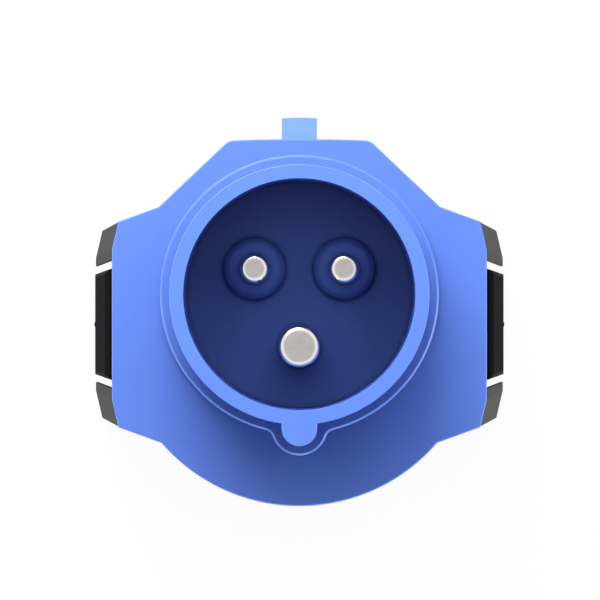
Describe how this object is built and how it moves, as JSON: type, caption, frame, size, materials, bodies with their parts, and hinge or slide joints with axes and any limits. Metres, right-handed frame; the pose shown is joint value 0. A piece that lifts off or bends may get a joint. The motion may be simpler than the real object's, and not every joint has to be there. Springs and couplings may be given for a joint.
{
  "type": "ev charging adapter",
  "caption": "Adapter with a blue round-pin industrial plug in a keyed collar, grey casing, black press latches on both sides and a rear socket for the charger.",
  "frame": {"origin": "middle of the rear socket and of the round body, in the plane of the rear rim", "axes": "+Z along the plug towards its pins, +Y towards the nose on the flat top, +X towards the neutral pin"},
  "size_m": [0.0704, 0.0663, 0.104],
  "materials": {
    "blue_plastic": "fine moulded satin",
    "grey_plastic": "fine spark-eroded moulding texture",
    "black_plastic": "fine moulded satin",
    "nickel": "nickel plate on turned brass",
    "steel": "zinc plate",
    "brass": "turned",
    "gold_contact": "thin gold plate",
    "copper": "bare sheet copper",
    "rubber": "moulded",
    "board": "lacquered"
  },
  "bodies": {
    "housing": {"front_shell": "blue_plastic", "contact_carrier": "blue_plastic", "rear_casing": "grey_plastic", "socket_insert": "black_plastic", "line_pin": "nickel", "neutral_pin": "nickel", "earth_pin": "nickel", "left_latch_pin": "steel", "right_latch_pin": "steel", "left_latch_spring": "steel", "right_latch_spring": "steel", "carrier_screws": "steel", "casing_screws": "steel", "insert_screws": "steel", "board_screws": "steel", "link_nuts": "steel", "pin_seals": "rubber", "body_seal": "rubber", "rear_seal": "rubber", "line_sleeve": "brass", "neutral_sleeve": "brass", "earth_sleeve": "brass", "signal_contacts": "gold_contact", "coding_board": "board", "line_link": "copper", "neutral_link": "copper", "earth_link": "copper"},
    "left_lever": {"left_latch": "black_plastic"},
    "right_lever": {"right_latch": "black_plastic"}
  },
  "joints": [
    {"name": "left_latch_press", "type": "hinge", "parent": "housing", "child": "left_lever", "pos_m": [-0.0299, 0, 0.024], "axis": [0, 1, 0], "range_deg": [0, 7], "stiffness_Nm_per_rad": 0.6, "springref_deg": -5.73, "deforming": ["left_latch_spring"]},
    {"name": "right_latch_press", "type": "hinge", "parent": "housing", "child": "right_lever", "pos_m": [0.0299, 0, 0.024], "axis": [0, -1, 0], "range_deg": [0, 7], "stiffness_Nm_per_rad": 0.6, "springref_deg": -5.73, "deforming": ["right_latch_spring"]}
  ]
}
